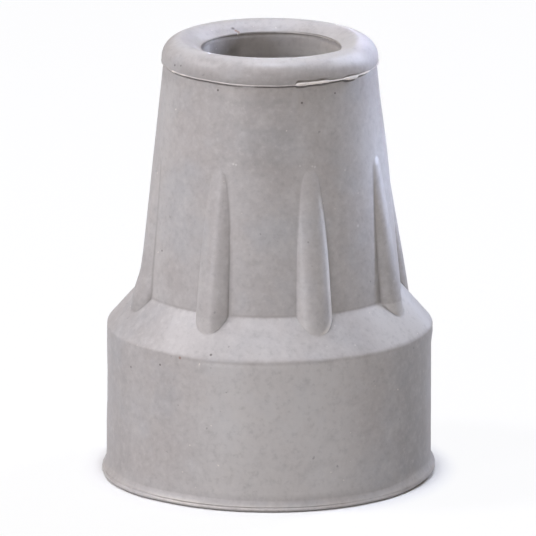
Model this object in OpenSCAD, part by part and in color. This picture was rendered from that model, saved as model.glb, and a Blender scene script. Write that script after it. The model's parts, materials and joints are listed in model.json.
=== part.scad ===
// Rubber cane tip: a one-piece moulded ferrule that presses onto the end of a round shaft.
// A broad foot, a sloping shoulder, a tapered neck with leaning round ribs, and a rolled collar
// around a blind socket. Millimetres. The origin is the centre of the sole, on the axis, and
// +Z points up out of the socket.

/* [Socket] */
// Diameter of the socket that grips the shaft
bore_d = 19; // [16:0.5:23]
// Rubber between the ground and the socket's flat floor
floor_t = 15; // [10:0.5:20]

/* [Overall] */
// Height from the sole to the top of the collar
height = 60; // [50:0.5:75]
// Diameter of the foot at its shoulder edge
foot_d = 44; // [40:0.1:54]

/* [Foot] */
// Height of the foot's wall, from the sole to the shoulder edge
foot_h = 20.6; // [16:0.1:25]
// How much the wall's radius grows from the shoulder edge down to the sole
foot_draft = 0.1; // [0:0.05:1]
// Radius of the rounded shoulder edge
edge_r = 0.6; // [0.2:0.1:1]
// How far up the wall the thin moulding rim around the sole reaches
rim_h = 1.2; // [0.8:0.1:2.4]
// Height of the rim's upright edge, below its sloping top
rim_edge_h = 0.5; // [0.2:0.1:0.7]
// How far the rim stands out from the foot's wall
rim_proud = 0.65; // [0.1:0.05:1.2]

/* [Shoulder and neck] */
// Rise of the sloping shoulder from the foot's edge to the neck
shoulder_h = 5; // [3:0.1:8]
// Rubber between the socket and the neck's surface, at the shoulder
neck_base_wall = 8.1; // [5:0.1:10]

/* [Collar] */
// Rubber between the socket and the outside of the collar
collar_wall = 5.1; // [4:0.1:7]
// Height of the collar's upright band, from the mould's parting line to its rounded edge
band_h = 0.6; // [0.2:0.1:2.4]
// How far the collar overhangs the top of the neck, at the parting line
collar_step = 0.25; // [0.1:0.05:0.6]
// Radius of the collar's rounded outer edge
lip_r = 2.6; // [1.5:0.1:3.2]
// How far the collar's top dips from its crest to the edge of the socket
dish_drop = 1.25; // [0.4:0.05:1.6]

/* [Ribs] */
// Number of ribs around the neck
rib_count = 8; // [4:1:10]
// Radius of a rib's round section
rib_r = 2.5; // [2:0.1:3.5]
// Length of a rib, from the top of the shoulder up to its tip
rib_len = 19.7; // [12:0.1:23]
// How far a rib's crest stands out from the neck, at the shoulder
rib_proud = 1.65; // [0.8:0.05:2.5]

/* [Tread] */
// Number of ring grooves in the sole
groove_count = 4; // [2:1:5]
// Width of a groove at its mouth
groove_w = 2; // [1.2:0.1:2.6]
// Depth of a groove
groove_depth = 1.4; // [0.6:0.1:2]
// Diameter of the plain land in the middle of the sole
land_d = 12; // [8:0.5:16]
// Width of the plain land around the sole, measured in from the foot's wall
edge_land = 3; // [2:0.1:5]

/* [Hidden] */
$fn = 128;

rubber_grey = [0.70, 0.69, 0.69];
edge_steps = 6;       // chords along the rounded shoulder edge
groove_slope = 0.25;  // how far a groove's side leans in, for each millimetre of depth
rib_rise = 3;         // length of a rib that runs on inside the neck, above its tip
cut = 1;              // overshoot of a cut past the surface that it opens

bore_r = bore_d / 2;
foot_top_r = foot_d / 2;
foot_base_r = foot_top_r + foot_draft;
rim_r = foot_base_r + rim_proud;
shoulder_z = foot_h + shoulder_h;
neck_base_r = bore_r + neck_base_wall;
collar_r = bore_r + collar_wall;
parting_z = height - lip_r - band_h;
neck_top_r = collar_r - collar_step;

// Radius of the foot's wall at a height
function wall_r(z) = foot_base_r - foot_draft * z / foot_h;

// The collar's top is highest on a circle, the crest: one arc runs down from it to the socket's
// edge, and a tighter one runs round to the outside
crest_r = collar_r - lip_r;
crest_inset = crest_r - bore_r;
dish_r = (crest_inset * crest_inset + dish_drop * dish_drop) / (2 * dish_drop);

// Radius of the neck's surface at a height
function neck_r(z) =
    neck_base_r + (neck_top_r - neck_base_r) * (z - shoulder_z) / (parting_z - shoulder_z);

// The crest of a rib runs straight from the neck's surface at its tip to its foot on the shoulder
rib_tip_z = shoulder_z + rib_len;
rib_tip_r = neck_r(rib_tip_z);
rib_foot_r = neck_base_r + rib_proud;
rib_lean = atan((rib_foot_r - rib_tip_r) / rib_len);
rib_drop = (rib_len + shoulder_h) / cos(rib_lean);

// The rounded edge touches the foot's wall and the shoulder's slope
wall_angle = atan(foot_draft / foot_h);
slope_angle = atan((foot_top_r - neck_base_r) / shoulder_h);
edge_turn = slope_angle - wall_angle;
edge_touch = edge_r * tan(edge_turn / 2);
edge_centre = [
    foot_top_r + edge_touch * sin(wall_angle) - edge_r * cos(wall_angle),
    foot_h - edge_touch * cos(wall_angle) - edge_r * sin(wall_angle)
];
edge_arc = [
    for (i = [0 : edge_steps])
        let (a = wall_angle + edge_turn * i / edge_steps)
            edge_centre + edge_r * [cos(a), sin(a)]
];

groove_first_r = land_d / 2 + groove_w / 2;
groove_last_r = foot_base_r - edge_land - groove_w / 2;
groove_pitch = (groove_last_r - groove_first_r) / (groove_count - 1);

// Half section of the foot, its rim, the shoulder and the neck, up to the parting line
module trunk_section() {
    polygon(concat(
        [[0, 0], [rim_r, 0], [rim_r, rim_edge_h], [wall_r(rim_h), rim_h]],
        edge_arc,
        [[neck_base_r, shoulder_z], [neck_top_r, parting_z], [0, parting_z]]
    ));
}

// Half section of the collar above the parting line: a square ring with its two upper corners
// taken off along arcs that meet at the crest
module collar_section() {
    difference() {
        translate([0, parting_z])
            square([collar_r, height - parting_z]);
        translate([crest_r, height - lip_r])
            difference() {
                square(lip_r + cut);
                circle(r = lip_r);
            }
        translate([crest_r, height - dish_r])
            difference() {
                translate([-crest_r, dish_r - dish_drop])
                    square([crest_r, dish_drop + cut]);
                circle(r = dish_r);
            }
    }
}

// Half section of one ring groove, with sides that lean in for the mould
module groove_section() {
    floor_half = groove_w / 2 - groove_slope * groove_depth;
    mouth_half = groove_w / 2 + groove_slope * cut;
    polygon([
        [-mouth_half, -cut], [mouth_half, -cut],
        [floor_half, groove_depth], [-floor_half, groove_depth]
    ]);
}

// One rib along +X: a leaning round bar, sunk into the neck so that only its crest shows
module rib() {
    translate([rib_tip_r, 0, rib_tip_z])
        rotate([0, -rib_lean, 0])
            translate([-rib_r, 0, -rib_drop])
                cylinder(r = rib_r, h = rib_drop + rib_rise);
}

// The ribs are spaced evenly, the first of them half a pitch round from +X. On a narrow shoulder
// they stop short of the foot's rounded edge
module ribs() {
    intersection() {
        for (i = [0 : rib_count - 1])
            rotate([0, 0, (i + 0.5) * 360 / rib_count])
                rib();
        cylinder(r = foot_top_r - edge_r, h = height);
    }
}

module rubber_tip() {
    color(rubber_grey)
        difference() {
            union() {
                rotate_extrude()
                    trunk_section();
                rotate_extrude()
                    collar_section();
                ribs();
            }
            translate([0, 0, floor_t])
                cylinder(r = bore_r, h = height - floor_t + cut);
            for (i = [0 : groove_count - 1])
                rotate_extrude()
                    translate([groove_first_r + i * groove_pitch, 0])
                        groove_section();
        }
}

rubber_tip();
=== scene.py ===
import json
import math

import bpy
import numpy as np
from mathutils import Matrix, Vector


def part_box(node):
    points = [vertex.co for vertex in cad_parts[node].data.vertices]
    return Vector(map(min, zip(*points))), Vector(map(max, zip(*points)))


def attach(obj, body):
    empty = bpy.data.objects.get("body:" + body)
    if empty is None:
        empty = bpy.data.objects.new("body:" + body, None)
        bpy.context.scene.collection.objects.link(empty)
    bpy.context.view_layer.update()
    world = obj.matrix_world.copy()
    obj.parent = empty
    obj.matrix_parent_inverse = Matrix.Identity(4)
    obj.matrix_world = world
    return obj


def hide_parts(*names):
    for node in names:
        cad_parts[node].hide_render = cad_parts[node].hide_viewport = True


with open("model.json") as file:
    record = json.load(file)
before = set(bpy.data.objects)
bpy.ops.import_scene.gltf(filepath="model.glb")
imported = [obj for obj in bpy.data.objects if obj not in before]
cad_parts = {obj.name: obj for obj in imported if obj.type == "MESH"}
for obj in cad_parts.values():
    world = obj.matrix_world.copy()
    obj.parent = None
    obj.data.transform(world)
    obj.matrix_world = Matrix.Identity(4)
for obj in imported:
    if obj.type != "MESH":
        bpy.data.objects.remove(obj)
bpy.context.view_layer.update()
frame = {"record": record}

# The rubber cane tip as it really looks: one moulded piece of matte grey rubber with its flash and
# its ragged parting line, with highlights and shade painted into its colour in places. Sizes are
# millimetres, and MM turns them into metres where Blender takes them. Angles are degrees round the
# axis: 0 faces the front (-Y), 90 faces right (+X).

MM = 0.001
FULL_TURN = 360
cad_low, cad_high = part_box("rubber_tip")
socket = next(mount for mount in frame["record"]["mounts"] if mount["name"] == "socket")

# ---------------------------------------------------------------- sizes that the CAD model fixes
HEIGHT = cad_high.z / MM
RIM_R = (cad_high.x - cad_low.x) / 2 / MM
BORE_R = socket["dims"]["r_mm"]
BORE_FLOOR_Z = socket["pos_m"][2] / MM
BORE_EDGE_Z = BORE_FLOOR_Z + socket["dims"]["length_mm"]

# ---------------------------------------------------------------- the section, as in the CAD source
RIM_PROUD = 0.65          # how far the rim round the sole stands out from the foot's wall
FOOT_DRAFT = 0.1          # how much the wall's radius grows from the shoulder edge to the sole
FOOT_TOP_R = RIM_R - (RIM_PROUD + FOOT_DRAFT)
FOOT_H = 20.6
SHOULDER_H = 5
SHOULDER_Z = FOOT_H + SHOULDER_H
NECK_BASE_WALL = 8.1      # rubber between the socket and the neck's surface, at the shoulder
NECK_BASE_R = BORE_R + NECK_BASE_WALL
COLLAR_WALL = 5.1         # rubber between the socket and the outside of the collar
COLLAR_R = BORE_R + COLLAR_WALL
COLLAR_STEP = 0.25        # how far the collar overhangs the neck at the parting line
BAND_H = 0.6              # from the parting line up to the collar's rounded edge
LIP_R = 2.6               # radius of that rounded edge
NECK_TOP_R = COLLAR_R - COLLAR_STEP
PARTING_Z = HEIGHT - LIP_R - BAND_H
CREST_R = COLLAR_R - LIP_R
DISH_DROP = HEIGHT - BORE_EDGE_Z
DISH_BEND = 1.4           # 1 would be a straight slope to the socket, and 2 bends like the CAD's arc

# ---------------------------------------------------------------- the ribs, near the CAD's even ones
RIB_COUNT = 8
RIB_PITCH = FULL_TURN / RIB_COUNT
RIB_LEN = 19.7
RIB_TIP_Z = SHOULDER_Z + RIB_LEN
RIB_END_Z = 23.3          # where the crest runs out on the shoulder
RIB_TIP_STEP = 0.10       # how far the tip stands out from the neck
RIB_TIP_RUN = 1.2         # length below the tip in which it comes to stand out that far
RIB_GROW = 0.087          # how fast the crest leaves the neck, just below the tip
RIB_HOLLOW = 0.0005       # how much that slows down for each millimetre further down
RIB_FOOT_SLOPE = 0.164    # how fast the crest runs outward below the top of the shoulder
RIB_SHIFTS = (0, -1.2, -2.3, -0.9, 0.15, 1.3, -3.0, 0)  # the ribs stand a little out of turn
RIB_RADII = (2.5, 2.5, 2.5, 2.5, 2.70, 2.65, 2.5, 2.5)  # and aren't quite alike
RIB_FULLNESS = (1, 1, 0.65, 1, 1, 1, 1, 1)              # how far each one stands out, as a share
RIB_SLIM_RUN = 4          # length above the shoulder in which a slim rib grows slim

# ---------------------------------------------------------------- the sole, as in the CAD source
GROOVE_COUNT = 4
GROOVE_FIRST_R = 7.0
GROOVE_PITCH = 3.7
GROOVE_MOUTH = 1.0        # half width
GROOVE_BED = 0.65         # half width
GROOVE_DEPTH = 1.4
SOLE_START_R = 1.5        # the first ring of the sole, round the fan in its middle
SOLE_END_IN = 1.2         # how far inside the rim the sole's last ring lies

# ---------------------------------------------------------------- softened corners
EDGE_SOFT = 0.22          # shoulder edge
JUNCTION_SOFT = 0.08      # where the neck meets the shoulder
RIB_SOFT = 0.025          # where a rib meets the neck
GROOVE_SOFT = 0.15
BORE_EDGE_SOFT = 0.15
BORE_FLOOR_SOFT = 0.5
SHARP_ANGLE = 38          # folds steeper than this shade as an edge

# ---------------------------------------------------------------- how the real one strays from true
# The rim round the sole
RIM_LOW_IN = 0.06         # how far its lower roll lies inside the true rim
RIM_HIGH_IN = 0.20        # and its upper roll
RIM_PULL = 0.36           # how far the lower roll is pulled out at the front left
RIM_CUT = 0.30            # how far it is cut back at the right
RIM_BULGE = 0.12          # how far the upper roll stands out at the right
RIM_LIFT = 0.35           # how much higher it rides there, as a share
RIM_CREASE = 0.07         # depth of the crease between the two, along the front

# The foot, shoulder and neck
SURFACE_WAVE = 0.03       # slow unevenness all over
WAVE_TURN = 0.35          # radians that it turns through for each millimetre of height
WALL_DENT = 0.08          # a hollow in the left of the foot
EDGE_HOLLOW = 0.06        # a hollow line just under the shoulder edge
RIGHT_FULL = 0.22         # how far the shoulder and the lower neck swell at the right

# The parting line, its fin and the torn flash that is left on it
LINE_DEPTH = 0.12         # how far the line cuts into the neck, where it hardly shows
DARK_LINE_DEPTH = 0.36    # and where it shows dark
SHUT_SHARE = 0.85         # share of that depth that is lost where the line closes up
LEFT_DEEPER = 0.12        # how much deeper the line is at the far left
FIN_REACH = 0.06          # how far the fin stands out from the collar
FIN_THICK = 0.13
STRIP_REACH = 0.32        # how much further the torn strip stands out
STRIP_THICK = 0.22        # and how much thicker it is
SCRAP_REACH = 0.10
SCRAP_THICK = 0.06
SECOND_EXTRA = 0.10       # what the strip's second piece adds to both

# The collar's top and the socket's mouth
TOP_WAVE = 0.04           # unevenness of the collar's top
MOUTH_ASIDE = 0.22        # how far the mouth lies to the right of the axis
TORN_CHIP = 0.06          # depth of the mouth's ragged stretch, at the right
NICK_CHIP = 0.12          # depth of the nick in its edge, at the left back
FINE_CHIP = 0.01          # raggedness all round
RING_Z = 55.2             # height of a thin ring inside the socket where the painted light is left out, so it reads darker

# ---------------------------------------------------------------- the mesh's rows and columns
PER_RIB = 60
STEP = RIB_PITCH / PER_RIB
RIB_STEPS = 11            # columns on each side of a rib's middle that belong to the rib
RIB_HALF = RIB_STEPS * STEP
THIN_RIB = 1.2            # narrowest half angle those columns are squeezed to
OPEN_ABOVE = 6            # lengths past a rib's two ends in which they open out again
OPEN_BELOW = 2.5

column_offset = np.tile(-RIB_PITCH / 2 + STEP * np.arange(PER_RIB), RIB_COUNT)
column_middle = np.repeat(RIB_PITCH * (np.arange(RIB_COUNT) + 0.5 - RIB_COUNT / 2), PER_RIB)
column_rib_r = np.repeat(RIB_RADII, PER_RIB)
column_fullness = np.repeat(RIB_FULLNESS, PER_RIB)
EVEN = column_middle + column_offset
COLUMNS = len(EVEN)

# A rib's own columns share its shift, and the columns between two ribs blend from one to the other
rib_middles = np.unique(column_middle)
rib_edges = np.stack([rib_middles - RIB_HALF, rib_middles + RIB_HALF], axis=1).ravel()
column_shift = np.interp(EVEN, rib_edges, np.repeat(RIB_SHIFTS, 2), period=FULL_TURN)

# Start, stop and step of the rows up the foot, shoulder and neck, closer where the shape turns
TRUNK_SPANS = (
    (2.4, 19.4, 1.4), (19.4, 20.2, 0.16), (20.2, 21.0, 0.1), (21.0, 23.0, 0.4), (23.0, 25.2, 0.22),
    (25.2, 26.0, 0.13), (26.0, 41.0, 0.8), (41.0, 44.6, 0.36), (44.6, 46.0, 0.2), (46.0, 55.6, 1.2),
)
LIP_STEPS = 12            # rows round the collar's outer edge
DISH_STEPS = 8            # rows down the dish
DISH_CROWD = 1.4          # above 1, they crowd towards the crest
# Heights of the rows down the socket's wall, closer near the mouth, where the photo looks in
BORE_ROWS = (57.9, 57.2, 56.5, 55.8, 55.2, 54.5, 53.0, 50.0, 44.0, 36.0, 26.0)
FLOOR_CORNER = (0, 30, 60, 90)      # angles of the rows round the corner of the socket's floor


# ================================================================ small helpers
def smooth(t):
    """0 below 0, 1 above 1, and an even S between them."""
    t = np.clip(t, 0, 1)
    return t * t * (3 - 2 * t)


def rises(at, start, run):
    """0 up to a place, then rising to 1 over a run."""
    return smooth((at - start) / run)


def falls(at, start, run):
    """1 up to a place, then falling to 0 over a run."""
    return 1 - smooth((at - start) / run)


def ridge(at, middle, width):
    """1 at a place, dying away alike on both sides of it."""
    return math.exp(-((at - middle) / width) ** 2)


def around(turn, middle):
    """How far an angle lies from another, between -180 and 180."""
    return (turn - middle + FULL_TURN / 2) % FULL_TURN - FULL_TURN / 2


def stretch(turn, start, end, soft):
    """1 between two angles, falling to 0 over a soft edge outside each."""
    middle, half = (start + end) / 2, (end - start) / 2
    return 1 - smooth((abs(around(turn, middle)) - half) / soft)


def ripple(turn, seed, waves, power=0.5):
    """An uneven wave round the axis, between about -1 and 1. Waves are counts per turn."""
    rng = np.random.default_rng(seed)
    total, weight = np.zeros_like(turn, dtype=float), 0.0
    for count in waves:
        share = count ** -power
        total += share * np.cos(np.radians(turn) * count + rng.uniform(0, 2 * math.pi))
        weight += share * share / 2
    return total / (2 * math.sqrt(weight))


def soft_min(a, b, soft):
    """The smaller of two radii, with the corner between them rounded."""
    h = np.clip(0.5 + 0.5 * (b - a) / soft, 0, 1)
    return b + (a - b) * h - soft * h * (1 - h)


def soft_max(a, b, soft):
    """The larger of two radii, with the corner between them filled."""
    return -soft_min(-a, -b, soft)


def span(start, stop, step):
    """Even heights from start up to, but not including, stop."""
    count = max(1, round(abs(stop - start) / step))
    return [start + (stop - start) * i / count for i in range(count)]


def place(turn, from_axis, height):
    """The point at an angle round the axis, a distance from it and a height."""
    a = math.radians(turn)
    return from_axis * math.sin(a), -from_axis * math.cos(a), height


# ================================================================ rows of the mesh
def row(radius, height, turn=None, torn_and_highlight=0.0, darkening=0.0, painted_light_and_stain=0.0):
    """One ring of vertices. Each value is one number or one for each column.

    Torn_and_highlight mixes in a pale cream: ripped flash, and painted highlights. Darkening mixes
    in a deep grey, mostly painted shade. Both run from 0 to 1. Painted_light_and_stain is paler
    above 0
    and darker below it: painted light and shade, and one stain.
    """
    full = np.ones(COLUMNS)
    return {
        "radius": full * radius,
        "height": full * height,
        "turn": full * (EVEN if turn is None else turn),
        "torn_and_highlight": full * torn_and_highlight,
        "darkening": full * darkening,
        "painted_light_and_stain": full * painted_light_and_stain,
    }


def blunt(points, cut):
    """A polyline with each inner corner replaced by two points, a short way before and after it."""
    out = [points[0]]
    for before, corner, after in zip(points, points[1:], points[2:]):
        for other in (before, after):
            away = np.subtract(other, corner)
            out.append(tuple(corner + away * (cut / np.linalg.norm(away))))
    return out + [points[-1]]


def sole_rows():
    """The underside, from the middle outward: plain land, ring grooves, plain land."""
    points = [(SOLE_START_R, 0.0)]
    for i in range(GROOVE_COUNT):
        r = GROOVE_FIRST_R + i * GROOVE_PITCH
        points += [
            (r - GROOVE_MOUTH, 0.0), (r - GROOVE_BED, GROOVE_DEPTH),
            (r + GROOVE_BED, GROOVE_DEPTH), (r + GROOVE_MOUTH, 0.0),
        ]
    points.append((RIM_R - SOLE_END_IN, 0.0))
    return [row(r, z) for r, z in blunt(points, GROOVE_SOFT)]


def wall_r(z):
    """Radius of the foot's wall at a height."""
    return FOOT_TOP_R + FOOT_DRAFT * (1 - z / FOOT_H)


def rim_rows():
    """The thin moulding rim round the sole, with a faint crease along its front."""
    front = stretch(EVEN, -30, 18, 16)
    front_left = stretch(EVEN, -65, -48, 14)
    right = stretch(EVEN, 70, 125, 25)
    uneven = ripple(EVEN, 11, (3, 5, 8, 13))
    fine = 0.015 * ripple(EVEN, 12, (31, 47, 71, 113), 0.2)

    low_r = RIM_R - RIM_LOW_IN + RIM_PULL * front_left - RIM_CUT * right + 0.03 * uneven + fine
    high_r = RIM_R - RIM_HIGH_IN + RIM_BULGE * right + 0.04 * uneven + fine
    lift = 1 + RIM_LIFT * right + 0.05 * uneven
    crease_r = high_r - 0.01 - RIM_CREASE * front
    wall = wall_r(1)
    pale = 0.25 + 0.2 * uneven
    # Painted shade: the dark underside at the floor, the front crease and the wall's foot; paler
    # rolls: painted highlights
    return [
        row(low_r - 0.32, 0.0, darkening=1),
        row(low_r - 0.18, 0.06, darkening=1),
        row(low_r - 0.04, 0.20, darkening=0.6),
        row(low_r, 0.32),
        row(low_r - 0.02, 0.44, torn_and_highlight=pale),
        row(np.maximum(low_r - 0.09, crease_r), 0.55, torn_and_highlight=pale),
        row(crease_r, 0.63, darkening=0.6 * front),
        row(high_r, 0.72 * lift, torn_and_highlight=pale),
        row(high_r - 0.09, 0.88 * lift, torn_and_highlight=0.5 * pale),
        row(0.5 * (high_r + wall) - 0.02, 1.10 * lift),
        row(wall + 0.06, 1.36 * lift),
        row(wall + 0.01, 1.55 * lift, darkening=0.2),
    ]


def neck_r(z):
    """Radius of the neck at a height."""
    rise = (z - SHOULDER_Z) / (PARTING_Z - SHOULDER_Z)
    return NECK_BASE_R + (NECK_TOP_R - NECK_BASE_R) * rise


def plain_r(z):
    """Radius of the foot, shoulder and neck at a height, without ribs."""
    shoulder = FOOT_TOP_R - (z - FOOT_H) * (FOOT_TOP_R - NECK_BASE_R) / SHOULDER_H
    return soft_max(soft_min(wall_r(z), shoulder, EDGE_SOFT), neck_r(z), JUNCTION_SOFT)


def crest_r(z):
    """Distance of each rib's crest from the axis at a height."""
    if z < SHOULDER_Z:
        return crest_r(SHOULDER_Z) + RIB_FOOT_SLOPE * (SHOULDER_Z - z)
    down = RIB_TIP_Z - z
    fullness = 1 + (column_fullness - 1) * rises(z, SHOULDER_Z, RIB_SLIM_RUN)
    tip = RIB_TIP_STEP * smooth(down / RIB_TIP_RUN)
    return neck_r(z) + fullness * (tip + RIB_GROW * down - RIB_HOLLOW * down * abs(down))


def rib_half_angle(z):
    """Half the angle that each rib's columns take up at a height."""
    centre, surface = crest_r(z) - column_rib_r, plain_r(z)
    cosine = (surface ** 2 + centre ** 2 - column_rib_r ** 2) / (2 * surface * centre)
    covered = np.degrees(np.arccos(np.minimum(1.0, cosine))) if z < RIB_TIP_Z else 0.0
    covered = np.maximum(covered, THIN_RIB)
    opening = max(rises(z, RIB_TIP_Z, OPEN_ABOVE), falls(z, RIB_END_Z - OPEN_BELOW, OPEN_BELOW))
    return covered + (RIB_HALF - covered) * opening


def offsets(half):
    """Each column's angle from its rib's middle, once the rib's own columns fit its half angle."""
    inside = column_offset * half / RIB_HALF
    spread = (RIB_PITCH / 2 - half) / (RIB_PITCH / 2 - RIB_HALF)
    outside = np.sign(column_offset) * (half + (abs(column_offset) - RIB_HALF) * spread)
    return np.where(abs(column_offset) <= RIB_HALF, inside, outside)


def rib_r(z, offset):
    """Distance of the ribs' round surface from the axis, and 0 clear of it."""
    centre = crest_r(z) - column_rib_r
    across = centre * np.sin(np.radians(offset))
    along = centre * np.cos(np.radians(offset))
    surface = along + np.sqrt(np.maximum(column_rib_r ** 2 - across ** 2, 0))
    return np.where((abs(across) < column_rib_r) & (z > FOOT_H), surface, 0)


def low_on_rib(z):
    """1 on the lower part of the ribs, gone before their middle."""
    return falls(z, 29, 5)


def crease_shade(turn, z, offset, beyond):
    """Painted shade in the creases down both sides of each rib, broader and darker where the photo
    shows them so.
    """
    on_shoulder = falls(z, 25, 0.4)
    reach = 1.5 + 2.1 * low_on_rib(z) * (1 - on_shoulder) * stretch(turn, 50, 75, 10)
    beside = falls(beyond, 0, reach) * rises(beyond, -0.3, 0.3)
    left_side = 0.15 + (0.75 + 0.9 * on_shoulder) * stretch(turn, 55, 130, 20)
    right_side = 0.30 + 0.50 * stretch(turn, -115, 10, 25) + on_shoulder * stretch(turn, -20, 90, 10)
    deep = 0.7 + 0.3 * falls(z, 28, 12)
    in_ribs = deep * rises(z, RIB_END_Z, 0.5) * falls(z, RIB_TIP_Z - 1.5, 1.5)
    return beside * in_ribs * np.where(offset < 0, left_side, right_side)


def rib_edge_highlight(turn, z, offset, beyond):
    """A painted highlight down the right edge of the front right rib."""
    right_half = (offset > 0) * (beyond < 0) * rises(beyond, -3.6, 2.4)
    return right_half * stretch(turn, 22, 40, 6) * rises(z, RIB_END_Z, 0.5) * falls(z, 40, 4)


def rib_light_and_shade(turn, z, offset, beyond):
    """Painted highlights on the two front ribs' left flanks, painted shade on the ribs at both
    sides, all low down.
    """
    flank = (offset < 0) * (beyond < 0) * rises(beyond, -4.5, 2.5) * stretch(turn, -40, 25, 6)
    aside = (beyond < 0) * (stretch(turn, 60, 76, 4) + 1.5 * stretch(turn, -80, -62, 4))
    return low_on_rib(z) * rises(z, RIB_END_Z, 0.5) * (0.2 * flank - 0.3 * aside)


def trunk_light_and_stain(turn, z):
    """The foot, shoulder and neck are paler here and darker there, as the photo shows them.

    Painted light and shade: the foot is paler in front and darker towards both sides, the shoulder
    paler at the right and darker at the left, and the neck paler at the far left. The neck's darker
    patch high on its front is a stain.
    """
    foot = 0.5 * stretch(turn, -8, 20, 28) - 0.6 * stretch(turn, 62, 70, 14)
    foot = foot - 0.25 * stretch(turn, -70, -62, 10)
    foot = foot * falls(z, FOOT_H - 0.5, 0.5)
    shoulder = 0.16 + 0.6 * stretch(turn, 55, 80, 15) - 0.35 * stretch(turn, -75, -50, 12)
    shoulder = shoulder * rises(z, FOOT_H, 0.5) * falls(z, SHOULDER_Z - 0.3, 0.3)
    neck = 0.25 * stretch(turn, -96, -62, 14) * rises(z, SHOULDER_Z, 0.5)
    neck = neck - 0.4 * stretch(turn, -18, 6, 14) * rises(z, 42, 6)
    return foot + shoulder + neck


def unevenness(turn, z):
    """How far the moulded surface strays from its true shape."""
    slow = ripple(turn, 21, (2, 3, 5)) * math.cos(z * WAVE_TURN) + ripple(turn, 22, (3, 4, 7))
    dent = stretch(turn, -120, -60, 30) * rises(z, 7, 3) * falls(z, 14, 3)
    under_edge = ridge(z, FOOT_H - 0.45, 0.3) * (0.3 + 0.7 * stretch(turn, -10, 100, 30))
    full = stretch(turn, 86, 125, 16) * rises(z, 18, 2) * falls(z, 44, 9)
    return SURFACE_WAVE * slow - WALL_DENT * dent - EDGE_HOLLOW * under_edge + RIGHT_FULL * full


def trunk_row(z):
    """One ring of the foot, shoulder or neck, with its ribs."""
    half = rib_half_angle(z)
    offset = offsets(half)
    beyond = abs(offset) - half                     # past the rib's edge, or short of it
    shifted = rises(z, 12, 9) * falls(z, 46, 9)     # rows clear of the ribs aren't shifted
    turn = column_middle + column_shift * shifted + offset

    rib = rib_r(z, offset)
    radius = soft_max(plain_r(z), rib, RIB_SOFT) + unevenness(turn, z)

    clear_of_rib = 1 - smooth((rib - plain_r(z)) / 0.1)
    # painted shade along the neck's foot, between the ribs
    junction = 0.5 * ridge(z, SHOULDER_Z + 0.2, 0.12) * clear_of_rib
    darkening = np.maximum(junction, crease_shade(turn, z, offset, beyond))
    edge_highlight = rib_edge_highlight(turn, z, offset, beyond)
    painted_light_and_stain = trunk_light_and_stain(turn, z) + rib_light_and_shade(turn, z, offset, beyond) + 0.9 * edge_highlight
    return row(radius, z, turn, torn_and_highlight=0.65 * edge_highlight * low_on_rib(z), darkening=darkening, painted_light_and_stain=painted_light_and_stain)


def trunk_rows():
    """The foot above its rim, the shoulder and the neck."""
    return [trunk_row(z) for part in TRUNK_SPANS for z in span(*part)]


# Darker along the lower part of the collar, at the front
COLLAR_FRONT_DARK = 0.45 * stretch(EVEN, -45, 35, 25)


def flash():
    """How full the torn flash is at each column: two pieces, the whole strip, and a small scrap."""
    first = rises(EVEN, 15.9, 1.0) * falls(EVEN, 33, 4) * (1 - 0.3 * stretch(EVEN, 23.5, 27.5, 3))
    second = 0.85 * stretch(EVEN, 47.5, 53.5, 3.5)
    thin = 0.25 * stretch(EVEN, 30, 66, 4)
    scrap = stretch(EVEN, -60.6, -58.5, 1.2) + 0.4 * stretch(EVEN, -57, -50, 2)
    return first, second, np.maximum.reduce([first, second, thin]), scrap


def line_depth(slow, ragged):
    """How far the dark line under the fin cuts into the neck."""
    shut = stretch(EVEN, -11, -7, 3)
    dark = np.maximum(stretch(EVEN, -72, -21, 6), stretch(EVEN, -7, 66, 3))
    depth = (LINE_DEPTH + 0.05 * slow) * (1 - dark) + (DARK_LINE_DEPTH + 0.06 * ragged) * dark
    return depth * (1 - SHUT_SHARE * shut) + LEFT_DEEPER * stretch(EVEN, -110, -74, 10)


def fin_size(pieces, slow, ragged):
    """How far the fin stands out from the collar, and how thick it is."""
    _, second, strip, scrap = pieces
    reach = FIN_REACH + 0.02 * slow + 0.02 * ragged + (STRIP_REACH + 0.08 * ragged) * strip
    thick = FIN_THICK + 0.02 * slow + (STRIP_THICK + 0.06 * ragged) * strip
    return (reach + SCRAP_REACH * scrap + SECOND_EXTRA * second,
            thick + SCRAP_THICK * scrap + SECOND_EXTRA * second)


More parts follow.
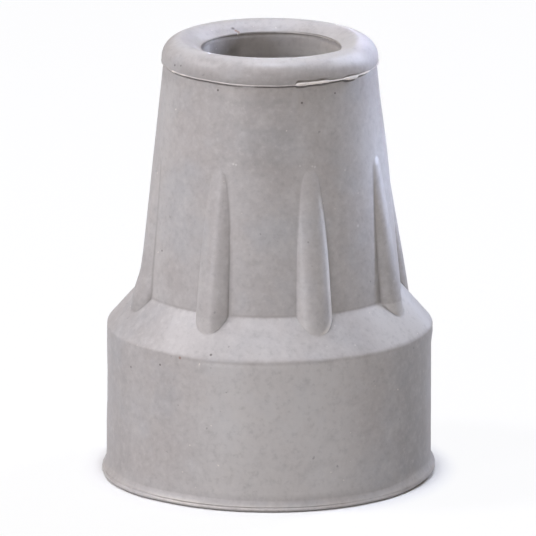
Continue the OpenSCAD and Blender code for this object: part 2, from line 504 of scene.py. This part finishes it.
def parting_rows():
    """The mould's parting line under the collar, with its thin fin and a strip of torn flash."""
    pieces = flash()
    first, second, strip, scrap = pieces
    ragged = ripple(EVEN, 31, (17, 29, 43, 67, 91), 0.2)
    slow = ripple(EVEN, 32, (3, 5, 9))
    reach, thick = fin_size(pieces, slow, ragged)
    gap = 0.03 + 0.27 * np.maximum(first, 0.4 * strip) + 0.02 * scrap   # open above the fin
    gap_in = 0.01 + 0.36 * strip + 0.05 * scrap                         # and this deep
    torn_and_highlight = np.clip(0.36 + 0.15 * slow + 3 * strip + 0.8 * scrap, 0, 1)
    sag = 0.14 * stretch(EVEN, -14, 6, 22)
    middle = PARTING_Z + 0.06 - sag + 0.08 * first - 0.04 * second

    neck = plain_r(PARTING_Z)
    cut_in = line_depth(slow, ragged)
    edge = COLLAR_R + reach
    low, high = middle - thick / 2, middle + thick / 2
    return [
        row(plain_r(PARTING_Z - 0.9), PARTING_Z - 0.9),
        row(neck - 0.02, low - 0.28 - 0.20 * strip),
        # painted shade: the dark line under the fin, the fin's underside and the gap above the strip
        row(neck - 0.5 * cut_in, low - 0.22 - 0.18 * strip, darkening=0.8 + 0.4 * strip),
        row(neck - cut_in, low - 0.16 - 0.12 * strip, darkening=1 + 0.4 * strip),
        row(neck - cut_in, low - 0.02, darkening=1 + 0.4 * strip),
        row(edge - 0.07, low, torn_and_highlight=torn_and_highlight, darkening=0.2),
        row(edge, middle - 0.3 * thick, torn_and_highlight=torn_and_highlight),
        row(edge - 0.02, middle + 0.3 * thick, torn_and_highlight=torn_and_highlight),
        row(edge - 0.09, high, torn_and_highlight=torn_and_highlight),
        row(COLLAR_R - gap_in, high + 0.01, torn_and_highlight=0.3 * torn_and_highlight, darkening=strip),
        row(COLLAR_R - gap_in, high + gap, darkening=strip),
        row(COLLAR_R - 0.03, high + gap + 0.03, darkening=COLLAR_FRONT_DARK),
        row(COLLAR_R, high + gap + 0.10, darkening=COLLAR_FRONT_DARK),
    ]


def top_wave():
    """How far the collar's top lies from its true height: hardly ever above it."""
    return TOP_WAVE * ripple(EVEN, 41, (2, 3, 5)) - TOP_WAVE


def lip_rows(wave, top_highlight):
    """The collar's rounded outer edge, painted paler towards its top and at the front right, as
    highlights.
    """
    bright = stretch(EVEN, 44, 60, 12)
    rows = [row(COLLAR_R, HEIGHT - LIP_R, darkening=COLLAR_FRONT_DARK)]
    for i in range(1, LIP_STEPS + 1):
        a = math.radians(90 * i / LIP_STEPS)
        z = HEIGHT - LIP_R + (LIP_R + wave) * math.sin(a)
        pale = np.maximum(rises(i, 5, 5), bright * rises(i, 2, 3))
        rows.append(row(CREST_R + LIP_R * math.cos(a), z,
                        darkening=COLLAR_FRONT_DARK * falls(i, 0, 7), painted_light_and_stain=top_highlight * pale))
    return rows


def dish_rows(wave, top_highlight):
    """The dish from the collar's crest down to the socket, with a painted highlight along the
    socket's edge in front and painted shade near it at the back.
    """
    near_highlight = stretch(EVEN, -45, 70, 20)
    far_shade = stretch(EVEN, 155, 215, 30)
    end = 1 - BORE_EDGE_SOFT / (CREST_R - BORE_R)
    rows = []
    for i in range(1, DISH_STEPS + 1):
        in_by = end * (i / DISH_STEPS) ** DISH_CROWD
        z = HEIGHT - DISH_DROP * in_by ** DISH_BEND + wave
        rows.append(row(CREST_R + (BORE_R - CREST_R) * in_by, z,
                        torn_and_highlight=0.3 * near_highlight * rises(i, 6, 1),
                        painted_light_and_stain=top_highlight - 0.1 - 0.6 * rises(in_by, 0.55, 0.3) * far_shade))
    return rows


def collar_rows():
    """The collar above its parting line, painted paler on top as a highlight, palest at the front
    right.
    """
    wave = top_wave()
    top_highlight = 0.55 + 0.3 * stretch(EVEN, 10, 75, 30)
    return lip_rows(wave, top_highlight) + dish_rows(wave, top_highlight)


def mouth_rows(aside):
    """The socket's ragged edge, with its nick."""
    torn_mouth = stretch(EVEN, 100, 137, 5)
    nick = stretch(EVEN, -150.7, -150.2, 0.7)
    back = stretch(EVEN, 140, 215, 30)
    rough = ripple(EVEN, 51, (23, 37, 53, 79, 97), 0.1)
    chip = (TORN_CHIP * torn_mouth + FINE_CHIP) * (1 + rough) + NICK_CHIP * nick
    edge_z = BORE_EDGE_Z + top_wave()
    torn_and_highlight = np.clip(0.1 + 0.3 * torn_mouth + 0.5 * nick, 0, 1)
    return [
        row(BORE_R + aside + 0.04 + chip, edge_z + 0.02 - 0.6 * chip, torn_and_highlight=torn_and_highlight),
        row(BORE_R + aside + 0.6 * chip, edge_z - 0.12 - chip, torn_and_highlight=0.6 * torn_and_highlight),
        # painted shade just inside the mouth's far edge
        row(BORE_R + aside + 0.10, edge_z - 0.30 - chip, darkening=0.6 * back),
        row(BORE_R + aside + 0.02, edge_z - 0.60 - chip),
    ]


def bore_rows(aside):
    """The socket's wall with painted light and shade: paler at the right, dark at the left back and
    pale beside that.
    """
    side = 0.5 + 0.5 * stretch(EVEN, 85, 140, 30) - 1.4 * stretch(EVEN, -147, -126, 9)
    left_edge = stretch(EVEN, -114, -100, 5)
    torn_right = 0.3 * stretch(EVEN, 95, 128, 20)
    rows = []
    for z in BORE_ROWS:
        shallow = rises(z, BORE_EDGE_Z - 6, 6)
        below_mouth = falls(z, 56.5, 1.2) * (1 - ridge(z, RING_Z, 0.3))
        rows.append(row(BORE_R + aside * shallow, z, torn_and_highlight=torn_right * shallow,
                        painted_light_and_stain=below_mouth * side + left_edge))
    return rows


def floor_rows():
    """The rounded corner of the socket's flat floor, darkened as painted shade, and one ring on the
    floor.
    """
    rows = []
    for degrees in FLOOR_CORNER:
        a = math.radians(degrees)
        rows.append(row(BORE_R - BORE_FLOOR_SOFT * (1 - math.cos(a)),
                        BORE_FLOOR_Z + BORE_FLOOR_SOFT * (1 - math.sin(a)), darkening=0.4))
    return rows + [row(BORE_R / 2, BORE_FLOOR_Z)]


def socket_rows():
    """The socket, from its mouth down. The mouth is drawn a little to the right."""
    aside = MOUTH_ASIDE * np.sin(np.radians(EVEN))
    return mouth_rows(aside) + bore_rows(aside) + floor_rows()


# ================================================================ the mesh
def skin_points(fields):
    """Every ring's points, and last the middle points of the first ring and of the last."""
    turn = np.radians(fields["turn"])
    points = np.stack([
        fields["radius"] * np.sin(turn),
        -fields["radius"] * np.cos(turn),
        fields["height"],
    ], axis=-1).reshape(-1, 3)
    return np.vstack([points, [[0, 0, fields["height"][0, 0]], [0, 0, fields["height"][-1, 0]]]])


def skin_faces(rings):
    """Four-sided faces from each ring to the next, and a fan of triangles at each end."""
    here = np.arange(COLUMNS)
    after = (here + 1) % COLUMNS
    faces = []
    for i in range(rings - 1):
        low, high = i * COLUMNS, (i + 1) * COLUMNS
        faces += np.stack([low + here, low + after, high + after, high + here], axis=1).tolist()
    top = (rings - 1) * COLUMNS
    first_middle, last_middle = rings * COLUMNS, rings * COLUMNS + 1
    faces += [[first_middle, int(b), int(a)] for a, b in zip(here, after)]
    faces += [[top + int(a), top + int(b), last_middle] for a, b in zip(here, after)]
    return faces


def build_mesh(name, rows):
    """One closed skin over the rows."""
    fields = {key: np.array([r[key] for r in rows]) for key in rows[0]}
    mesh = bpy.data.meshes.new(name)
    mesh.from_pydata((skin_points(fields) * MM).tolist(), [], skin_faces(len(rows)))
    mesh.validate()
    for key in ("torn_and_highlight", "darkening", "painted_light_and_stain"):
        attribute = mesh.attributes.new(key, "FLOAT", "POINT")
        values = np.concatenate([fields[key].ravel(), [0, 0]]).astype(np.float32)
        attribute.data.foreach_set("value", values)
    mesh.shade_smooth()
    mesh.set_sharp_from_angle(angle=math.radians(SHARP_ANGLE))
    return mesh


def build_tip():
    """The whole part. Its skin takes the place of the CAD solid."""
    rows = (
        sole_rows() + rim_rows() + trunk_rows() + parting_rows() + collar_rows() + socket_rows()
    )
    tip = bpy.data.objects.new("tip_skin", build_mesh("tip_skin", rows))
    bpy.context.scene.collection.objects.link(tip)
    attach(tip, "root")
    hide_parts("rubber_tip")
    return tip


# ================================================================ materials
RUBBER = (0.50, 0.48, 0.48, 1)
RUBBER_WARM = (0.49, 0.462, 0.457, 1)
RUBBER_COOL = (0.49, 0.485, 0.50, 1)
RUBBER_PALE = (0.66, 0.64, 0.63, 1)
RUBBER_DARK = (0.26, 0.25, 0.25, 1)
DUST = (0.64, 0.62, 0.61, 1)
# a pale cream: ripped rubber and pale specks, and painted highlights
PALE_CREAM = (0.92, 0.86, 0.80, 1)
# a deep grey: painted shade, and a darker band on the collar's front
DEEP_GREY = (0.20, 0.185, 0.18, 1)
BUMP_DEPTH = 0.12         # of the rubber's grain

# Specks and scuffs where the photo shows them, each: turn, distance from the axis, height, radius,
# colour
SPECK = (0.10, 0.085, 0.08, 1)
RUST_BROWN = (0.33, 0.20, 0.16, 1)
SCUFF = (0.66, 0.64, 0.63, 1)
MARKS = (
    (-148.3, 10.2, 59.35, 0.30, SPECK),
    (-149.6, 9.85, 59.0, 0.22, RUST_BROWN),
    (-151.0, 9.6, 58.8, 0.22, RUST_BROWN),
    (-58.6, 14.56, 57.8, 0.16, SPECK),
    (-52.8, 14.51, 58.0, 0.12, SPECK),
    (-26.3, 14.5, 55.7, 0.16, SPECK),
    (19.3, 14.6, 54.3, 0.15, SPECK),
    (39.0, 14.5, 55.1, 0.14, SPECK),
    (-56.4, 16.9, 32.6, 0.15, SPECK),
    (-18.8, 21.5, 21.15, 0.18, SPECK),
    (-30.5, 22.0, 20.3, 0.20, RUST_BROWN),
    (-39.2, 22.0, 18.8, 0.16, SPECK),
    (-55.1, 22.0, 17.25, 0.16, SPECK),
    (48.4, 16.4, 36.8, 0.22, SCUFF),
    (-14.5, 15.5, 46.0, 0.15, SCUFF),
    (-15.9, 15.5, 46.05, 0.15, SCUFF),
    (25.3, 15.5, 45.6, 0.16, SCUFF),
    (17.5, 15.5, 45.9, 0.15, SCUFF),
    (23.9, 15.5, 45.7, 0.15, SCUFF),
    (42.6, 15.6, 44.6, 0.15, SCUFF),
    (24.4, 20.7, 22.2, 0.15, SCUFF),
    (35.8, 20.9, 21.9, 0.14, SCUFF),
)
MARK_STRENGTH = 0.85      # share of a mark's own colour in its middle
MARK_CORE = 0.5           # the mark is at full strength as far out as this share of its radius
MARK_END = 1.3            # and gone at this share


class Nodes:
    """Short calls for building one material's node tree."""

    def __init__(self, tree):
        self.tree = tree
        self.tree.nodes.clear()

    def put(self, entry, value):
        """Links an output to a node's input, or sets the input to a plain value."""
        if isinstance(value, bpy.types.NodeSocket):
            self.tree.links.new(value, entry)
        else:
            entry.default_value = value

    def add(self, kind, **inputs):
        """A node with its inputs set. An underscore in a keyword stands for a space."""
        node = self.tree.nodes.new(kind)
        for key, value in inputs.items():
            self.put(node.inputs[key.replace("_", " ")], value)
        return node

    def noise(self, where, size, detail=2.0, rough=0.5, seed=0.0):
        """Noise with features about this many millimetres across."""
        node = self.tree.nodes.new("ShaderNodeTexNoise")
        node.noise_dimensions = "4D"
        for key, value in (("Vector", where), ("Scale", 1 / (size * MM)), ("Detail", detail),
                           ("Roughness", rough), ("W", seed)):
            self.put(node.inputs[key], value)
        return node.outputs["Fac"]

    def window(self, value, low, high, out_low=0.0, out_high=1.0):
        """Turns the range low..high into out_low..out_high and holds it there outside."""
        node = self.add("ShaderNodeMapRange", Value=value, From_Min=low, From_Max=high,
                        To_Min=out_low, To_Max=out_high)
        node.clamp = True
        return node.outputs["Result"]

    def math(self, operation, a, b):
        """Two numbers added, multiplied or the like."""
        node = self.tree.nodes.new("ShaderNodeMath")
        node.operation = operation
        self.put(node.inputs[0], a)
        self.put(node.inputs[1], b)
        return node.outputs[0]

    def mix(self, amount, a, b):
        """A colour between two, by an amount from 0 to 1."""
        node = self.tree.nodes.new("ShaderNodeMix")
        node.data_type = "RGBA"
        colours = [entry for entry in node.inputs if entry.type == "RGBA"]
        self.put(node.inputs[0], amount)
        self.put(colours[0], a)
        self.put(colours[1], b)
        return next(output for output in node.outputs if output.type == "RGBA")

    def blend(self, amount, a, b):
        """A shader between two, by an amount from 0 to 1."""
        node = self.tree.nodes.new("ShaderNodeMixShader")
        self.put(node.inputs[0], amount)
        self.put(node.inputs[1], a.outputs[0])
        self.put(node.inputs[2], b.outputs[0])
        return node.outputs[0]

    def distance(self, where, middle=(0, 0, 0)):
        """How far each place lies from one point."""
        node = self.tree.nodes.new("ShaderNodeVectorMath")
        node.operation = "DISTANCE"
        self.put(node.inputs[0], where)
        self.put(node.inputs[1], middle)
        return node.outputs["Value"]

    def attribute(self, name):
        """A value that the mesh carries at each vertex."""
        node = self.tree.nodes.new("ShaderNodeAttribute")
        node.attribute_name = name
        return node.outputs["Fac"]


def colour_and_painted_light(n, where):
    """The plain rubber, a little warmer or cooler in patches, with painted light and shade and a
    stain.
    """
    broad = n.noise(where, size=9.0, seed=1.0)
    tint = n.noise(where, size=6.0, seed=2.0)
    painted_light_and_stain = n.attribute("painted_light_and_stain")
    colour = n.mix(n.window(broad, 0.42, 0.62), RUBBER_WARM, RUBBER)
    colour = n.mix(n.window(tint, 0.50, 0.68, 0.0, 0.7), colour, RUBBER_COOL)
    # painted highlights make it paler, and painted shade makes it darker
    colour = n.mix(n.window(painted_light_and_stain, 0, 1), colour, RUBBER_PALE)
    return n.mix(n.window(painted_light_and_stain, 0, -1, 0.0, 0.6), colour, RUBBER_DARK)


def add_grain(n, where, colour, mottle, grain):
    """Mottle, grain, and small dark and pale specks."""
    specks = n.noise(where, size=0.9, detail=1.0, seed=5.0)
    bright_specks = n.noise(where, size=0.8, detail=1.0, seed=6.0)
    colour = n.mix(n.window(mottle, 0.50, 0.75, 0.0, 0.35), colour, DUST)
    colour = n.mix(n.window(mottle, 0.45, 0.25, 0.0, 0.20), colour, RUBBER_DARK)
    colour = n.mix(n.window(grain, 0.48, 0.28, 0.0, 0.27), colour, RUBBER_DARK)
    colour = n.mix(n.window(grain, 0.52, 0.72, 0.0, 0.40), colour, DUST)
    colour = n.mix(n.window(specks, 0.76, 0.80, 0.0, 0.6), colour, RUBBER_DARK)
    return n.mix(n.window(bright_specks, 0.76, 0.80, 0.0, 0.6), colour, PALE_CREAM)


def add_marks(n, where, colour):
    """The larger specks and scuffs, each a small soft-edged ball of another colour."""
    for turn, from_axis, height, radius, mark in MARKS:
        middle = [part * MM for part in place(turn, from_axis, height)]
        amount = n.window(n.distance(where, middle), MARK_CORE * radius * MM,
                          MARK_END * radius * MM, MARK_STRENGTH, 0.0)
        colour = n.mix(amount, colour, mark)
    return colour


def rubber_material():
    """Matte, slightly dusty moulded rubber."""
    material = bpy.data.materials.new("rubber")
    material.use_nodes = True
    n = Nodes(material.node_tree)
    where = n.add("ShaderNodeTexCoord").outputs["Object"]
    mottle = n.noise(where, size=2.2, detail=3.0, rough=0.6, seed=3.0)
    grain = n.noise(where, size=0.75, detail=3.0, rough=0.65, seed=4.0)

    colour = add_grain(n, where, colour_and_painted_light(n, where), mottle, grain)
    # Darkening: mostly painted shade in creases, grooves and under edges, laid on as a deep grey
    dark_share = n.math("MULTIPLY", n.attribute("darkening"), n.window(mottle, 0.25, 0.60, 0.3, 1.0))
    colour = n.mix(n.math("MULTIPLY", dark_share, 0.6), colour, DEEP_GREY)
    colour = add_marks(n, where, colour)
    # A pale cream for ripped flash, also laid on as painted highlights on a rib edge, the lip and
    # the rim
    pale_share = n.math("MULTIPLY", n.attribute("torn_and_highlight"), n.window(mottle, 0.30, 0.60, 0.5, 1.0))
    colour = n.mix(pale_share, colour, PALE_CREAM)

    rough = n.window(n.math("ADD", mottle, grain), 0.6, 1.4, 0.36, 0.50)
    relief = n.math("ADD", n.math("MULTIPLY", mottle, 0.6), n.math("MULTIPLY", grain, 0.4))
    bump = n.add("ShaderNodeBump", Strength=0.5, Distance=BUMP_DEPTH * MM, Height=relief)
    shader = n.add("ShaderNodeBsdfPrincipled", Base_Color=colour, Roughness=rough,
                   Normal=bump.outputs["Normal"], Specular_IOR_Level=0.5)
    n.add("ShaderNodeOutputMaterial", Surface=shader.outputs[0])
    return material


# ================================================================ the stage
WHITE = (1, 1, 1, 1)
FLOOR_PALE = (0.65, 0.65, 0.65, 1)
FLOOR_WHITE = (0.98, 0.98, 0.98, 1)
FLOOR_SHOW = 0.82         # share of plain white in what a camera sees of the floor
SHADOW_START = 22.8       # that share grows from nothing here, so that the contact stays dark
SHADOW_END = 26.0
FLOOR_HALF = 3000         # half the floor's width
AMBIENT = (0.26, 0.23, 0.18, 1)


def floor_material():
    """Pale, and seen as white with the object's shadow left on it."""
    material = bpy.data.materials.new("floor")
    material.use_nodes = True
    n = Nodes(material.node_tree)
    seen = n.add("ShaderNodeLightPath").outputs["Is Camera Ray"]
    away = n.distance(n.add("ShaderNodeTexCoord").outputs["Object"])
    share = n.window(away, SHADOW_START * MM, SHADOW_END * MM, 0.0, FLOOR_SHOW)
    lit = n.add("ShaderNodeBsdfDiffuse", Color=n.mix(seen, FLOOR_PALE, FLOOR_WHITE))
    white = n.add("ShaderNodeEmission", Color=WHITE, Strength=1.0)
    both = n.blend(n.math("MULTIPLY", seen, share), lit, white)
    n.add("ShaderNodeOutputMaterial", Surface=both)
    return material


def build_floor():
    """A flat square under the part. It is stage, and no piece of the object."""
    size = FLOOR_HALF * MM
    mesh = bpy.data.meshes.new("floor")
    corners = [(-size, -size, 0), (size, -size, 0), (size, size, 0), (-size, size, 0)]
    mesh.from_pydata(corners, [], [(0, 1, 2, 3)])
    mesh.materials.append(floor_material())
    floor = bpy.data.objects.new("floor", mesh)
    bpy.context.scene.collection.objects.link(floor)


def build_world():
    """Plain soft light all round, and white wherever the camera looks past the floor."""
    world = bpy.data.worlds.new("studio")
    world.use_nodes = True
    bpy.context.scene.world = world
    n = Nodes(world.node_tree)
    seen = n.add("ShaderNodeLightPath").outputs["Is Camera Ray"]
    ambient = n.add("ShaderNodeBackground", Color=AMBIENT, Strength=1.0)
    white = n.add("ShaderNodeBackground", Color=WHITE, Strength=1.0)
    n.add("ShaderNodeOutputWorld", Surface=n.blend(seen, ambient, white))


# The light is neutral from the left, cooler from above and blue from behind on the right
NEUTRAL = (0.97, 0.95, 1.0)
COOL = (0.83, 0.87, 1.0)
BLUE = (0.65, 0.74, 1.0)

# Broad lamps, each: name, direction round the object, height angle, watts, colour
LAMPS = (
    ("left_side", -84, 42, 2.3, NEUTRAL),
    ("left_front", -36, 8, 2.0, NEUTRAL),
    ("overhead", 0, 86, 4.5, COOL),
    ("right_back", 132, 42, 2.0, BLUE),
    ("right_low", 156, 8, 0.4, BLUE),
)
LAMP_DISTANCE = 900
LAMP_SIZE = 200

# Small lamps with grids, close by, that graze the right edges of the collar and the neck from
# behind, each: the same, and the spot it aims at by its turn, distance from the axis and height
KICKERS = (
    ("kicker_collar", 118, 25, 0.0015, BLUE, (0, 0, 55)),
    ("kicker_neck", 126, 7, 0.0013, BLUE, (84, 14.5, 40)),
)
KICKER_DISTANCE = 300
KICKER_SIZE = 20
KICKER_SPREAD = 7         # degrees of its beam


def add_lamp(name, turn, rise, watts, colour, aim, distance, size):
    """A round lamp in a direction and at a distance from the spot it aims at. It isn't seen."""
    light = bpy.data.lights.new(name, "AREA")
    light.shape = "DISK"
    light.size = size * MM
    light.energy = watts
    light.color = colour
    e = math.radians(rise)
    away = Vector(place(turn, math.cos(e), math.sin(e)))
    holder = bpy.data.objects.new(name, light)
    holder.location = (Vector(place(*aim)) + away * distance) * MM
    holder.rotation_euler = away.to_track_quat("Z", "Y").to_euler()
    holder.visible_camera = False
    bpy.context.scene.collection.objects.link(holder)
    return light


def build_lamps():
    """The broad lamps aim at the object's middle, and each kicker at its own spot."""
    middle = (0, 0, HEIGHT / 2)
    for lamp in LAMPS:
        add_lamp(*lamp, middle, LAMP_DISTANCE, LAMP_SIZE)
    for kicker in KICKERS:
        light = add_lamp(*kicker, KICKER_DISTANCE, KICKER_SIZE)
        light.spread = math.radians(KICKER_SPREAD)


# ================================================================ the camera
CAMERA_LENS = 565
CAMERA_SENSOR = 36
CAMERA_DISTANCE = 1140
CAMERA_TURN = 2.3         # degrees round the object, to the right of the front
CAMERA_DOWN = 14.4        # degrees it looks down
CAMERA_ROLL = 0.2
CAMERA_AIM_Z = 28         # height of the point it aims at
CAMERA_ASIDE = -0.17      # and how far that lies to the side of the axis
CAMERA_REACH = 20000      # it sees as far as this


def build_camera():
    """The photograph's view: from far off through a long lens, a little from above."""
    camera = bpy.data.cameras.new("camera")
    camera.sensor_width = CAMERA_SENSOR
    camera.lens = CAMERA_LENS
    camera.clip_end = CAMERA_REACH * MM
    holder = bpy.data.objects.new("camera", camera)
    bpy.context.scene.collection.objects.link(holder)
    holder.matrix_world = (
        Matrix.Rotation(math.radians(CAMERA_TURN), 4, "Z")
        @ Matrix.Translation((CAMERA_ASIDE * MM, 0, CAMERA_AIM_Z * MM))
        @ Matrix.Rotation(math.radians(90 - CAMERA_DOWN), 4, "X")
        @ Matrix.Translation((0, 0, CAMERA_DISTANCE * MM))
        @ Matrix.Rotation(math.radians(CAMERA_ROLL), 4, "Z")
    )
    bpy.context.scene.camera = holder


# ================================================================ all together
tip = build_tip()
tip.data.materials.append(rubber_material())
build_floor()
build_world()
build_lamps()
build_camera()
bpy.context.scene.view_settings.view_transform = "Standard"
